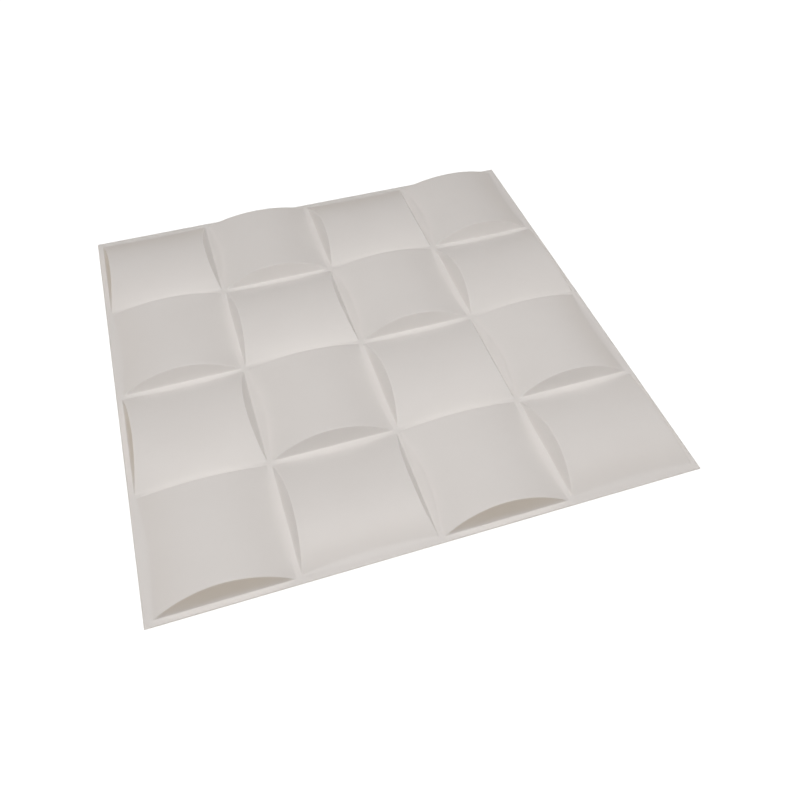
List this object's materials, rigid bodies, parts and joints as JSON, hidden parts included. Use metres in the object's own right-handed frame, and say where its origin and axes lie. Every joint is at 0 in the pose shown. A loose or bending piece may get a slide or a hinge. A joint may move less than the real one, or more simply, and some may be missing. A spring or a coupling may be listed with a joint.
{
  "type": "3d wall panel tile",
  "caption": "Square formed-sheet wall tile with a basket weave of low barrel vaults turned by quarters, a flat border and a hollow back.",
  "frame": {"origin": "centre of the tile's outline in the plane of its back", "axes": "+Z out of the decorated front, +X and +Y along the edges; the vault at the low X, low Y corner runs along Y"},
  "size_m": [0.5, 0.5, 0.016],
  "materials": {
    "panel_sheet": "matte off-white formed sheet with a fine, slightly uneven grain"
  },
  "bodies": {
    "root": {"wall_panel": "panel_sheet"}
  },
  "joints": []
}
